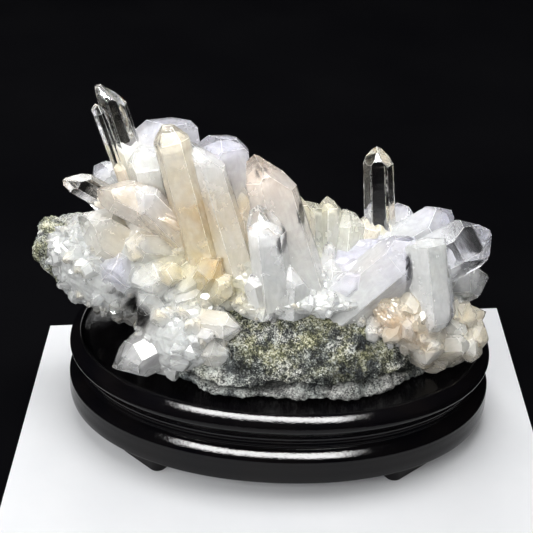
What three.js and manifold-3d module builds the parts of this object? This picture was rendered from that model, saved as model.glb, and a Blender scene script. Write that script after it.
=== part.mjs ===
// A cluster of milky and clear quartz crystals on its grey-green matrix rock,
// resting on a black lacquered wooden stand. Sizes are in millimetres, with +Z up.
import * as THREE from 'three';
import { mergeVertices } from 'three/addons/utils/BufferGeometryUtils.js';
import { ConvexGeometry } from 'three/addons/geometries/ConvexGeometry.js';
import Module from 'manifold-3d';

// Driving dimensions of the stand
const standHalfWidth = 121.5;
const standHalfDepth = 86.5;
const standCentreY = -3;
const standOvalPower = 2.1;
const standOutlineSteps = 40;
const footHeight = 7.5;
const recessFloor = 46;
const footPlaces = [[70, 57], [-70, 57], [70, -57], [-70, -57]];
const footHalfLength = 15;
const footHalfDepth = 8;
const footCorner = 5;

// Half profile of the moulded rim, from the underside up and over into the recess:
// how far each line lies inside the widest outline, and its height
const rimProfile = [
  [2.2, footHeight],
  [0.6, 11],
  [0.0, 16],
  [0.4, 20.4],
  [1.8, 24],
  [4.4, 26.6],
  [7.4, 27.8],
  [6.6, 29.6],
  [7.2, 31.4],
  [6.2, 35],
  [3.8, 38.6],
  [1.8, 42],
  [2.6, 45.4],
  [4.8, 47.8],
  [8.4, 49],
  [13.0, recessFloor],
];

// Driving dimensions of the rock and the quartz
const gap = 0.35;
const rockBottom = recessFloor + gap;
const usualBurial = 16;
const rhombFaceAngle = THREE.MathUtils.degToRad(51.8);
const narrowFaceShare = 0.16;
const sideShares = [1, 0.93, 1.05, 0.96, 1.03, 0.91];
const bluntTilt = 0.22;
const usualTaper = 0.015;

// The boulders that make up the matrix rock
const boulders = [
  { centre: [12, -10, 65], size: [73, 56, 32], tilt: 0, detail: 4, rough: 0.07, seed: 1 },
  { centre: [14, -17, 51], size: [75, 53, 11], tilt: 0, detail: 3, rough: 0.05, seed: 2 },
  { centre: [-26, -35, 53], size: [36, 35, 14], tilt: 4, detail: 3, rough: 0.06, seed: 3 },
  { centre: [-98, 8, 79], size: [49, 29, 20], tilt: 24, detail: 3, rough: 0.09, seed: 5 },
];

// The milky masses that the crystals grow out of
const masses = [
  { centre: [-66, -2, 96], size: [44, 34, 32], tilt: 14, detail: 1, rough: 0.06, seed: 11 },
  { centre: [-14, -4, 88], size: [46, 40, 34], tilt: 0, detail: 1, rough: 0.06, seed: 12 },
  { centre: [48, -4, 78], size: [50, 36, 34], tilt: 0, detail: 1, rough: 0.06, seed: 13 },
  { centre: [-50, -36, 68], size: [27, 25, 24], tilt: 0, detail: 1, rough: 0.06, seed: 14 },
  { centre: [-92, -4, 86], size: [38, 28, 25], tilt: 27, detail: 1, rough: 0.1, seed: 15 },
  { centre: [84, -22, 63], size: [27, 22, 19], tilt: 0, detail: 1, rough: 0.06, seed: 16 },
  { centre: [-12, 20, 86], size: [84, 27, 24], tilt: 8, detail: 1, rough: 0.06, seed: 17 },
];

// Crystals on the left: the clear spire, its neighbours and the points that lie outwards
const leftCrystals = [
  { name: 'left spire', foot: [-86, 8, 134], tip: [-102, 12, 189],
    across: 12.5, turn: 0, chisel: 0.85, blunt: 3 },
  { name: 'left spire twin', foot: [-90, 6, 143], tip: [-102, 8, 179], across: 9, turn: 20, chisel: 0.3 },
  { name: 'far left point', foot: [-94, 0, 122], tip: [-119, -4, 140], across: 12, turn: 10, chisel: 0.5 },
  { name: 'grey slab', foot: [-92, 20, 119], tip: [-107, 28, 137], across: 20, turn: 30, blunt: 4 },
  { name: 'cream prism', foot: [-64, -16, 123], tip: [-104, -13, 142], across: 19, turn: 12, chisel: 0.3 },
  { name: 'pale prism', foot: [-56, -20, 118], tip: [-82, -18, 146], across: 16, turn: 0, blunt: 3 },
  { name: 'left block', foot: [-88, -16, 110], tip: [-114, -16, 127], across: 25, turn: 0, blunt: 5 },
  { name: 'left under block', foot: [-90, -12, 98], tip: [-112, -26, 106], across: 22, turn: 30, blunt: 4 },
  { name: 'facing point', foot: [-82, -12, 92], tip: [-90, -42, 105], across: 22, turn: 0, blunt: 2 },
  { name: 'striated log', foot: [-50, -18, 108], tip: [-86, -31, 117], across: 15, turn: 30, blunt: 2 },
  { name: 'lower log', foot: [-48, -22, 98], tip: [-84, -42, 98], across: 19, turn: 0, blunt: 3 },
  { name: 'cavity lip', foot: [-60, -20, 88], tip: [-76, -48, 84], across: 18, turn: 10, blunt: 3 },
];

// The tall creamy and milky group left of the middle
const tallCrystals = [
  { name: 'milky slab', foot: [-66, 2, 113], tip: [-76, 6, 164], across: 25, turn: 30, blunt: 7 },
  { name: 'flat-topped slab', foot: [-62, 10, 113], tip: [-73, 22, 174],
    across: 26, turn: 4, wide: 1.6, blunt: 9 },
  { name: 'cream tall', foot: [-45, -24, 112], tip: [-64, -8, 179],
    across: 16.5, turn: -30, chisel: 0.1, blunt: 3 },
  { name: 'cream twin', foot: [-33, -24, 115], tip: [-52, -6, 170], across: 15, turn: -10, chisel: 0.7 },
  { name: 'milky dome', foot: [-31, -8, 103], tip: [-40, 10, 171],
    across: 27, turn: 4, wide: 1.2, blunt: 8 },
  { name: 'beige shoulder', foot: [-20, -20, 100], tip: [-26, -4, 143], across: 19, turn: 0, chisel: 0.3 },
  { name: 'amber wedge', foot: [-46, -30, 92], tip: [-34, -36, 118], across: 17, turn: 0, chisel: 0.2 },
  { name: 'small facet', foot: [-36, -34, 90], tip: [-26, -46, 107], across: 12, turn: 20 },
  { name: 'small upright', foot: [-58, -30, 96], tip: [-60, -44, 112], across: 12, turn: 0, blunt: 1 },
];

// The two leading crystals of the middle and the fan of thin ones right of them
const middleCrystals = [
  { name: 'centre main', foot: [4, -32, 89], tip: [-20, -10, 165],
    across: 21, turn: -12, chisel: 0.55, taper: 0.05, buried: 10 },
  { name: 'centre front', foot: [-8, -42, 94], tip: [-16, -34, 147],
    across: 17, turn: -20, chisel: 0.5, buried: 8 },
  { name: 'centre wedge', foot: [2, -44, 88], tip: [2, -40, 118],
    across: 16, turn: 10, chisel: 0.4, buried: 6 },
  { name: 'fan first', foot: [8, -22, 84], tip: [4, 4, 137], across: 14, turn: 0, chisel: 0.5 },
  { name: 'fan second', foot: [14, -20, 82], tip: [12, 10, 130], across: 19, turn: 15, blunt: 5 },
  { name: 'fan third', foot: [24, -20, 82], tip: [22, 5, 132], across: 12, turn: 40, chisel: 0.5 },
  { name: 'fan fourth', foot: [32, -16, 82], tip: [34, 10, 127], across: 20, turn: 10, blunt: 6 },
  { name: 'fan fifth', foot: [38, -12, 82], tip: [47, 8, 123], across: 14, turn: 25, chisel: 0.4 },
  { name: 'fan low', foot: [22, -30, 84], tip: [24, -14, 113],
    across: 17, turn: 0, chisel: 0.4, buried: 8 },
];

// Crystals on the right: the clear spire, the long prisms and the pillar in front of them
const rightCrystals = [
  { name: 'right spire', foot: [52, 6, 110], tip: [47, 14, 158], across: 14, turn: -30, chisel: 0.1 },
  { name: 'round one behind', foot: [64, 12, 96], tip: [66, 24, 121], across: 18, turn: 0, blunt: 3 },
  { name: 'small point behind', foot: [77, 16, 93], tip: [81, 24, 115], across: 11, turn: 0 },
  { name: 'right back', foot: [58, 0, 100], tip: [94, 8, 124], across: 20, turn: 30, blunt: 3 },
  { name: 'right tip', foot: [63, -16, 93], tip: [113, -8, 122], across: 25, turn: 10, blunt: 3 },
  { name: 'long prism', foot: [31, -32, 86], tip: [70, -24, 124],
    across: 29, turn: 0, chisel: 0.3, buried: 11 },
  { name: 'pillar', foot: [72, -30, 122], tip: [80, -46, 74], across: 20, turn: 0, chisel: 0.3, buried: 2 },
  { name: 'pillar prong', foot: [80, -30, 108], tip: [86, -44, 80], across: 14, turn: 0, buried: 2 },
  { name: 'right grey', foot: [87, -8, 86], tip: [116, -4, 86], across: 24, turn: 0, blunt: 3 },
  { name: 'right low', foot: [84, -14, 76], tip: [109, -20, 66], across: 24, turn: 0, blunt: 2 },
  { name: 'lying cream', foot: [78, -42, 68], tip: [104, -38, 67],
    across: 14, turn: 0, blunt: 1, buried: 4 },
  { name: 'low cream', foot: [80, -30, 60], tip: [92, -48, 57], across: 25, turn: 0, wide: 1.2, blunt: 4 },
  { name: 'right cream', foot: [86, -22, 74], tip: [103, -38, 72], across: 25, turn: 20, blunt: 4 },
  { name: 'rusty block', foot: [52, -32, 82], tip: [70, -46, 85],
    across: 19, turn: 0, blunt: 3, buried: 8 },
];

// Crystals that stick out low at the front left
const frontCrystals = [
  { name: 'front left point', foot: [-59, -40, 63], tip: [-90, -62, 57], across: 20, turn: 0, chisel: 0.2 },
  { name: 'second low point', foot: [-50, -42, 60], tip: [-64, -58, 58], across: 18, turn: 20, blunt: 2 },
  { name: 'front block', foot: [-50, -32, 85], tip: [-62, -56, 78], across: 28, turn: 0, blunt: 4 },
  { name: 'front log', foot: [-46, -46, 80], tip: [-19, -56, 84], across: 14, turn: 0, blunt: 2 },
  { name: 'front low log', foot: [-46, -46, 66], tip: [-24, -60, 70], across: 16, turn: 15, blunt: 2 },
];

// Crystals of the back, which lean away from the front
const backCrystals = [
  { name: 'back far left', foot: [-92, 18, 104], tip: [-114, 38, 114], across: 15, turn: 0, chisel: 0.2 },
  { name: 'back left', foot: [-80, 20, 108], tip: [-95, 42, 130], across: 18, turn: 10, chisel: 0.3 },
  { name: 'back left tall', foot: [-62, 22, 108], tip: [-70, 46, 149], across: 22, turn: 0, chisel: 0.1 },
  { name: 'back left thin', foot: [-52, 24, 104], tip: [-56, 52, 128], across: 12, turn: 0, chisel: 0.2 },
  { name: 'back middle tall', foot: [-42, 20, 106], tip: [-42, 44, 143],
    across: 24, turn: 20, chisel: 0.4 },
  { name: 'back middle', foot: [-24, 24, 100], tip: [-20, 54, 122], across: 17, turn: 0 },
  { name: 'back centre', foot: [-10, 20, 96], tip: [-4, 42, 128], across: 20, turn: 15, blunt: 2 },
  { name: 'valley left', foot: [-6, 4, 96], tip: [-8, 18, 124], across: 14, turn: 0, chisel: 0.2 },
  { name: 'valley right', foot: [24, 8, 90], tip: [28, 24, 110], across: 15, turn: 10, chisel: 0.3 },
  { name: 'back fan left', foot: [8, 24, 88], tip: [12, 52, 100], across: 22, turn: 0, chisel: 0.2 },
  { name: 'back fan right', foot: [28, 20, 84], tip: [37, 44, 104], across: 16, turn: 10 },
  { name: 'back right', foot: [42, 20, 82], tip: [50, 49, 92], across: 20, turn: 0, chisel: 0.3 },
  { name: 'back far right', foot: [62, 14, 84], tip: [80, 34, 97], across: 17, turn: 20, blunt: 2 },
  { name: 'low back left', foot: [-72, 24, 90], tip: [-89, 50, 95], across: 16, turn: 0 },
  { name: 'low back middle', foot: [-44, 26, 86], tip: [-52, 58, 92], across: 21, turn: 10, chisel: 0.2 },
  { name: 'low back small', foot: [-26, 28, 82], tip: [-27, 56, 87], across: 12, turn: 0 },
  { name: 'low back centre', foot: [-6, 26, 78], tip: [2, 57, 82], across: 19, turn: 0, blunt: 3 },
  { name: 'low back right', foot: [28, 24, 74], tip: [40, 53, 78], across: 15, turn: 0, chisel: 0.2 },
  { name: 'low far right', foot: [60, 16, 74], tip: [84, 37, 78], across: 18, turn: 10 },
];

const frontView = [...leftCrystals, ...tallCrystals, ...middleCrystals, ...rightCrystals];
const crystals = [...frontView, ...frontCrystals, ...backCrystals];

const wasm = await Module();
wasm.setup();

const up = new THREE.Vector3(0, 0, 1);

// Turns a closed three.js geometry into a solid that can be joined and cut
function toSolid(geometry) {
  const bare = geometry.clone();
  bare.deleteAttribute('normal');
  bare.deleteAttribute('uv');
  const merged = mergeVertices(bare, 1e-4);
  const vertProperties = new Float32Array(merged.attributes.position.array);
  const triVerts = new Uint32Array(merged.index.array);
  return new wasm.Manifold(new wasm.Mesh({ numProp: 3, vertProperties, triVerts }));
}

// Gives a solid back as a flat-shaded, named mesh
function toMesh(solid, name, material) {
  const { vertProperties, triVerts } = solid.getMesh();
  const geometry = new THREE.BufferGeometry();
  geometry.setAttribute('position', new THREE.BufferAttribute(vertProperties, 3));
  geometry.setIndex(new THREE.BufferAttribute(triVerts, 1));
  const mesh = new THREE.Mesh(geometry, material);
  mesh.name = name;
  return mesh;
}

function join(solids) {
  return solids.reduce((whole, solid) => whole.add(solid));
}

// The point that three planes share, or null where two of them are parallel
function meetingPoint(a, b, c) {
  const bc = b.normal.clone().cross(c.normal);
  const spread = a.normal.dot(bc);
  if (Math.abs(spread) < 1e-6) return null;
  const ca = c.normal.clone().cross(a.normal);
  const ab = a.normal.clone().cross(b.normal);
  const sum = bc.multiplyScalar(a.reach).addScaledVector(ca, b.reach).addScaledVector(ab, c.reach);
  return sum.divideScalar(spread);
}

// The convex body that lies behind all of the given planes
function convexBody(planes) {
  const corners = [];
  for (let i = 0; i < planes.length; i++) {
    for (let j = i + 1; j < planes.length; j++) {
      for (let k = j + 1; k < planes.length; k++) {
        const point = meetingPoint(planes[i], planes[j], planes[k]);
        if (!point) continue;
        const inside = planes.every(({ normal, reach }) => normal.dot(point) < reach + 1e-6);
        const known = corners.some((corner) => corner.distanceTo(point) < 1e-3);
        if (inside && !known) corners.push(point);
      }
    }
  }
  return new ConvexGeometry(corners);
}

// One quartz crystal: a six-sided prism closed by three broad and three narrow sloping faces
// whose peak is the tip. A chisel moves the axis away from the peak, so that one face grows broad,
// and a blunt end is worn down by that much. The taper is how fast a side draws in towards the tip,
// and a wide crystal is about that many times as broad one way as the other.
function crystalGeometry({ foot, tip, across, turn = 0, chisel = 0, blunt = 0, ...rest }) {
  const { taper = usualTaper, buried = usualBurial, wide = 1 } = rest;
  const footPoint = new THREE.Vector3(...foot);
  const tipPoint = new THREE.Vector3(...tip);
  const axis = tipPoint.clone().sub(footPoint).normalize();
  const length = tipPoint.distanceTo(footPoint) + buried;
  const radius = across / 2;
  const planes = [{ normal: new THREE.Vector3(0, 0, -1), reach: 0 }];
  const peakOffset = -chisel * radius;
  const peak = new THREE.Vector3(peakOffset, 0, length);
  for (let side = 0; side < 6; side++) {
    const angle = side * Math.PI / 3;
    const outward = new THREE.Vector3(Math.cos(angle), Math.sin(angle), 0);
    const wall = outward.clone().setZ(taper).normalize();
    const spread = side % 3 === 0 ? radius * (wide - 1) : 0;
    const topOfWall = outward.clone().multiplyScalar(radius * sideShares[side] + spread).setZ(length);
    planes.push({ normal: wall, reach: wall.dot(topOfWall) });
    const slope = outward.clone().multiplyScalar(Math.sin(rhombFaceAngle));
    slope.z = Math.cos(rhombFaceAngle);
    const narrow = side % 2 === 1 ? narrowFaceShare * radius : 0;
    const moved = narrow + spread * Math.sin(rhombFaceAngle);
    planes.push({ normal: slope, reach: slope.dot(peak) + moved });
  }
  if (blunt > 0) {
    const worn = new THREE.Vector3(bluntTilt, 0, 1).normalize();
    planes.push({ normal: worn, reach: (length - blunt) * worn.z });
  }
  const geometry = convexBody(planes);
  geometry.translate(-peakOffset, 0, 0);
  geometry.rotateZ(THREE.MathUtils.degToRad(turn));
  geometry.applyQuaternion(new THREE.Quaternion().setFromUnitVectors(up, axis));
  const start = footPoint.addScaledVector(axis, -buried);
  geometry.translate(start.x, start.y, start.z);
  return geometry;
}

// Soft waves that push a surface in and out
function waves({ x, y, z }, seed) {
  const broad = Math.sin(2.3 * x + 1.7 * seed) * Math.cos(2.9 * y + seed) + Math.sin(3.1 * z + 2.3 * seed);
  const fine = Math.sin(7.1 * x + seed) * Math.sin(6.3 * y + 2 * seed) + Math.cos(8.7 * z + 1.3 * x + seed);
  const ragged = Math.sin(23 * x + 3 * seed) * Math.sin(19 * y + seed) * Math.cos(21 * z + 2 * seed);
  return 0.6 * broad + 0.4 * fine + 0.7 * ragged;
}

// A rough lump: a ball pushed in and out by waves, stretched, and tilted about the Y axis
function lumpGeometry({ centre, size, tilt, detail, rough, seed }, extra = 0) {
  const geometry = new THREE.IcosahedronGeometry(1, detail);
  const position = geometry.attributes.position;
  const point = new THREE.Vector3();
  for (let i = 0; i < position.count; i++) {
    point.fromBufferAttribute(position, i);
    const swell = 1 + rough * waves(point, seed);
    point.multiply(new THREE.Vector3(...size)).multiplyScalar(swell);
    point.setLength(point.length() + extra);
    position.setXYZ(i, point.x, point.y, point.z);
  }
  geometry.rotateY(THREE.MathUtils.degToRad(tilt));
  geometry.translate(...centre);
  return geometry;
}

// Everything above a level, as a solid to intersect with
function aboveLevel(level) {
  const reach = 600;
  const box = new THREE.BoxGeometry(reach, reach, reach);
  box.translate(0, 0, level + reach / 2);
  return toSolid(box);
}

function rockSolid(extra) {
  return join(boulders.map((boulder) => toSolid(lumpGeometry(boulder, extra))));
}

function quartzCrystals(material) {
  const grown = join([
    ...masses.map((mass) => toSolid(lumpGeometry(mass))),
    ...crystals.map((crystal) => toSolid(crystalGeometry(crystal))),
  ]);
  const onRock = grown.subtract(rockSolid(gap * 2)).intersect(aboveLevel(rockBottom));
  return toMesh(onRock, 'quartz_crystals', material);
}

function matrixRock(material) {
  return toMesh(rockSolid(0).intersect(aboveLevel(rockBottom)), 'matrix_rock', material);
}

// One point of the stand's oval outline, an amount inside its widest line
function ovalPoint(angle, inset) {
  const power = 2 / standOvalPower;
  const c = Math.cos(angle);
  const s = Math.sin(angle);
  const x = (standHalfWidth - inset) * Math.sign(c) * Math.abs(c) ** power;
  const y = (standHalfDepth - inset) * Math.sign(s) * Math.abs(s) ** power;
  return [x, y + standCentreY];
}

// The stand's moulded body: the rim profile carried round the oval, closed above and below
function standBody() {
  const positions = [];
  const indices = [];
  const steps = standOutlineSteps;
  for (const [inset, height] of rimProfile) {
    for (let step = 0; step < steps; step++) {
      positions.push(...ovalPoint(step / steps * 2 * Math.PI, inset), height);
    }
  }
  const floorCentre = positions.length / 3;
  positions.push(0, standCentreY, recessFloor);
  const underCentre = floorCentre + 1;
  positions.push(0, standCentreY, footHeight);
  const lastRing = (rimProfile.length - 1) * steps;
  for (let step = 0; step < steps; step++) {
    const next = (step + 1) % steps;
    for (let ring = 0; ring < lastRing; ring += steps) {
      indices.push(ring + step, ring + next, ring + steps + next);
      indices.push(ring + step, ring + steps + next, ring + steps + step);
    }
    indices.push(lastRing + step, lastRing + next, floorCentre);
    indices.push(next, step, underCentre);
  }
  const geometry = new THREE.BufferGeometry();
  geometry.setAttribute('position', new THREE.Float32BufferAttribute(positions, 3));
  geometry.setIndex(indices);
  return geometry;
}

// One short foot with rounded corners, reaching up into the body
function standFoot([x, y]) {
  const outline = new THREE.Shape();
  const straightX = footHalfLength - footCorner;
  const straightY = footHalfDepth - footCorner;
  outline.absarc(straightX, straightY, footCorner, 0, Math.PI / 2);
  outline.absarc(-straightX, straightY, footCorner, Math.PI / 2, Math.PI);
  outline.absarc(-straightX, -straightY, footCorner, Math.PI, Math.PI * 1.5);
  outline.absarc(straightX, -straightY, footCorner, Math.PI * 1.5, Math.PI * 2);
  const depth = footHeight + 2;
  const geometry = new THREE.ExtrudeGeometry(outline, { depth, bevelEnabled: false, curveSegments: 4 });
  const facing = Math.atan2(y * standHalfWidth / standHalfDepth, x);
  geometry.rotateZ(facing + Math.PI / 2);
  geometry.translate(x, y + standCentreY, 0);
  return geometry;
}

function woodenStand(material) {
  const solid = join([toSolid(standBody()), ...footPlaces.map((place) => toSolid(standFoot(place)))]);
  return toMesh(solid, 'wooden_stand', material);
}

const quartzMaterial = new THREE.MeshStandardMaterial({ color: 0xe9e6e2, roughness: 0.2, metalness: 0 });
const rockMaterial = new THREE.MeshStandardMaterial({ color: 0x7f8272, roughness: 0.9, metalness: 0 });
const lacquerMaterial = new THREE.MeshStandardMaterial({ color: 0x0b0a0b, roughness: 0.12, metalness: 0 });

const cluster = new THREE.Group();
cluster.add(quartzCrystals(quartzMaterial), matrixRock(rockMaterial), woodenStand(lacquerMaterial));

// The origin is the middle of the object's box, on the surface that the stand rests on
const box = new THREE.Box3().setFromObject(cluster);
const middle = box.getCenter(new THREE.Vector3());
cluster.position.set(-middle.x, -middle.y, 0);

const object = new THREE.Group();
object.add(cluster);

export default object;
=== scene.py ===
# A cluster of milky and clear quartz crystals on its grey-green matrix rock,
# resting on a black lacquered wooden stand, on a plain pale floor.
import math
import random

import bmesh
import bpy
import numpy as np
from mathutils import Matrix, Vector, noise
from mathutils.bvhtree import BVHTree


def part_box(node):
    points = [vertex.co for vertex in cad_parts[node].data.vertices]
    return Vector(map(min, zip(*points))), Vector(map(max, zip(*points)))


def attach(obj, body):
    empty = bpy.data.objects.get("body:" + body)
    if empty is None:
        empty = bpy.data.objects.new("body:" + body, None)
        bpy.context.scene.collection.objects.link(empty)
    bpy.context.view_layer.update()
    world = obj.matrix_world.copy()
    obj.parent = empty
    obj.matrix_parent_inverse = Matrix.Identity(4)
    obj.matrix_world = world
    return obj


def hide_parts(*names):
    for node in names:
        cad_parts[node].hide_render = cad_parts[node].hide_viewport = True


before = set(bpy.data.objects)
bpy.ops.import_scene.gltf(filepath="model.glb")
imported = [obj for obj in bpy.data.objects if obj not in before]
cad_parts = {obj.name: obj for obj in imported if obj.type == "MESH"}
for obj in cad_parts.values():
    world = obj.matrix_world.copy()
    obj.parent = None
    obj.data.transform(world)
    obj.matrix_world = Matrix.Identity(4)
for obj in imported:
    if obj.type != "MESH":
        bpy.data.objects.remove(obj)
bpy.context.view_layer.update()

# Lengths below are in millimetres and are brought to metres by this
MM = 0.001

# The stand's own middle, in the drawing that the sizes below belong to
STAND_CENTRE_Y = -3
stand_low, stand_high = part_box("wooden_stand")
SHIFT = (stand_low + stand_high) / 2 - Vector((0, STAND_CENTRE_Y, 0)) * MM
SHIFT.z = 0

# Stand
STAND_HALF_WIDTH = 121.5
STAND_HALF_DEPTH = 86.5
STAND_OVAL_POWER = 2.1
STAND_STEPS = 256
RIM_STEPS = 8
SHARP_ANGLE = math.radians(35)
FOOT_HEIGHT = 7.5
RECESS_FLOOR = 46
FOOT_PLACES = [(70, 57), (-70, 57), (70, -57), (-70, -57)]
FOOT_HALF_LENGTH = 15
FOOT_HALF_DEPTH = 8
FOOT_CORNER = 5
FOOT_STEPS = 32
FOOT_WEAR = 0.6
RIM_PROFILE = [
    (2.2, FOOT_HEIGHT), (1.3, 8.6), (0.4, 9.6), (0, 13), (0.2, 17), (0.4, 21), (0.9, 23.8),
    (4.8, 26.5), (6.8, 27.3), (7.3, 28.4), (6.6, 29.6), (7.4, 31), (6.6, 33), (6.2, 35),
    (3.8, 38.6), (1.8, 42), (2.1, 44.8), (3.4, 46.8), (7.0, 49.2), (8.6, 49.3), (9.4, 47.6),
    (13, RECESS_FLOOR),
]

LACQUER_IOR = 1.5

# Rock: finest grain, top of the pale ledge, where the dark part ends, and relief as (fineness, height)
ROCK_GRAIN = 1.1
LEDGE_TOP = 56
LEDGE_WAVE = (0.05, 5)
PALE_ROCK_X = -30
FAR_LEFT_X = (-98, -106)
ROCK_RELIEF = [(0.09, 2.2), (0.24, 1.5), (0.62, 0.9)]
ROCK_SHRINK = 1.2
CREVICE_DEPTH = 3
CREVICE_WIDTH = 1.5
LEDGE_STANDS_OUT = 1.2

# Quartz
ROCK_GAP = 0.35
ROCK_BOTTOM = RECESS_FLOOR + ROCK_GAP
USUAL_BURIAL = 16
RHOMB_FACE_ANGLE = math.radians(51.8)
NARROW_FACE_SHARE = 0.16
SIDE_SHARES = [1, 0.93, 1.05, 0.96, 1.03, 0.91]
BLUNT_TILT = 0.22
USUAL_TAPER = 0.015
EDGE_WEAR = 0.26
LEAST_WEAR = 0.25
QUARTZ_IOR = 1.544
SAME_POINT = 0.004
NEARLY_ZERO = 1e-5

# Growth lines: steps, width, and depth by the crystal's width
LINE_STEPS = (1.6, 2.4, 3.4, 5.2)
LINE_WIDTH = 0.35
LINE_DEPTH = 0.014
MOST_LINE_DEPTH = 0.2
PLAIN_TIP_SHARE = 0.6

# Shares of a crystal's length over which its colour changes and its milk ends
TINT_SPAN = (0.15, 0.95)
CLEARING_SPAN = (-0.2, 0.1)
PLACE_STEP = 37

# Seeds of the random draws, and the first number of the small crystals
UNEVEN_SEED = 3
SMALL_SEED = 7
SMALL_TAG = 200

# Place of the worn edges' material on the quartz
WORN_INDEX = 2

# Colours of the quartz, from clear white to iron stains, and a near-black one that is painted shade
TINTS = {
    "white": (0.85, 0.85, 0.85),
    "milk": (0.79, 0.80, 0.79),
    "cream": (0.83, 0.79, 0.70),
    "beige": (0.82, 0.74, 0.60),
    "pink": (0.80, 0.73, 0.67),
    "lilac": (0.72, 0.72, 0.78),
    "grey": (0.62, 0.62, 0.62),
    "green": (0.77, 0.765, 0.69),
    "gold": (0.82, 0.74, 0.48),
    "amber": (0.62, 0.44, 0.20),
    "rust": (0.60, 0.40, 0.18),
    "painted_shade": (0.17, 0.15, 0.11),
}

# How far and how raggedly each patch fades, stains and painted shade alike
PATCH_END = 4
PATCH_FADING = 1.3
PATCH_RAGGEDNESS = 0.5
PATCH_FINENESS = 0.12

# Places of stains on the quartz, and of painted shade that darkens its cavity and shaded underside:
# middle, reach, colour and how strongly
STAINS_AND_SHADE = [
    ((-47, -26, 130), (12, 12, 17), "amber", 0.85),
    ((-45, -30, 114), (18, 14, 14), "gold", 0.6),
    ((-70, -22, 122), (20, 12, 11), "beige", 0.7),
    ((-27, -20, 130), (9, 12, 18), "amber", 0.5),
    ((-50, -38, 108), (24, 14, 12), "gold", 0.4),
    ((-30, -48, 97), (18, 12, 9), "gold", 0.7),
    # These three near-black rows are painted shade, in the cavity and on the shaded underside of the
    # left druse
    ((-76, -38, 79), (10, 14, 8), "painted_shade", 1.0),
    ((-104, -14, 66), (26, 24, 7), "painted_shade", 0.6),
    ((-84, -22, 64), (20, 20, 6), "painted_shade", 0.7),
    ((60, -50, 86), (11, 12, 8), "rust", 0.6),
    ((53, -46, 90), (8, 9, 6), "rust", 0.45),
    ((69, -52, 79), (9, 12, 7), "rust", 0.45),
    ((84, -44, 60), (24, 12, 12), "beige", 0.6),
    ((-93, 8, 150), (9, 10, 7), "gold", 0.9),
    ((-102, -12, 140), (16, 10, 8), "pink", 0.8),
    ((22, 6, 131), (32, 12, 8), "gold", 0.5),
    ((46, -30, 112), (18, 12, 12), "pink", 0.4),
]

# Dark windows and cracks in the quartz, where the skin is clear and the milk inside is painted
# near-black as painted shade: how ragged they are, and the middle and reach of each
WINDOW_RAGGEDNESS = 3
WINDOWS = [
    ((-14, -18, 159), (3.5, 9, 7)),
    ((-2.4, -39.5, 129), (3, 10, 7)),
    ((6.9, -23, 136), (2.5, 8, 7)),
    ((-76, -36, 80), (9, 15, 9)),
    ((-66.5, -14, 167), (1.4, 6, 3)),
    ((64, -37, 114), (1.8, 8, 7)),
]

# Milk: its depth under the faces, and the share of a crystal's length that it fills
MILK_DEPTH = 0.7
LONGEST_MILK_EDGE = 3.5
MILK_EDGE_ROUNDS = 4
USUAL_MILK = 0.93
CLEAR_BELOW = 0.5
CLEAR_TIP = 0.6


def crystal(foot, tip, across, top, turn=0, **more):
    """A crystal from foot to tip, with its width, upper colour and turn in degrees.

    More can be given: wide stretches it one way, taper narrows it, chisel puts its tip off the
    middle, blunt is what is worn off the tip, buried is how deep it is set in, tint is its lower
    colour, milk is its milky share, and beside counts the smaller crystals next to it.
    """
    return dict(foot=foot, tip=tip, across=across, top=top, turn=turn, **more)


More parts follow.
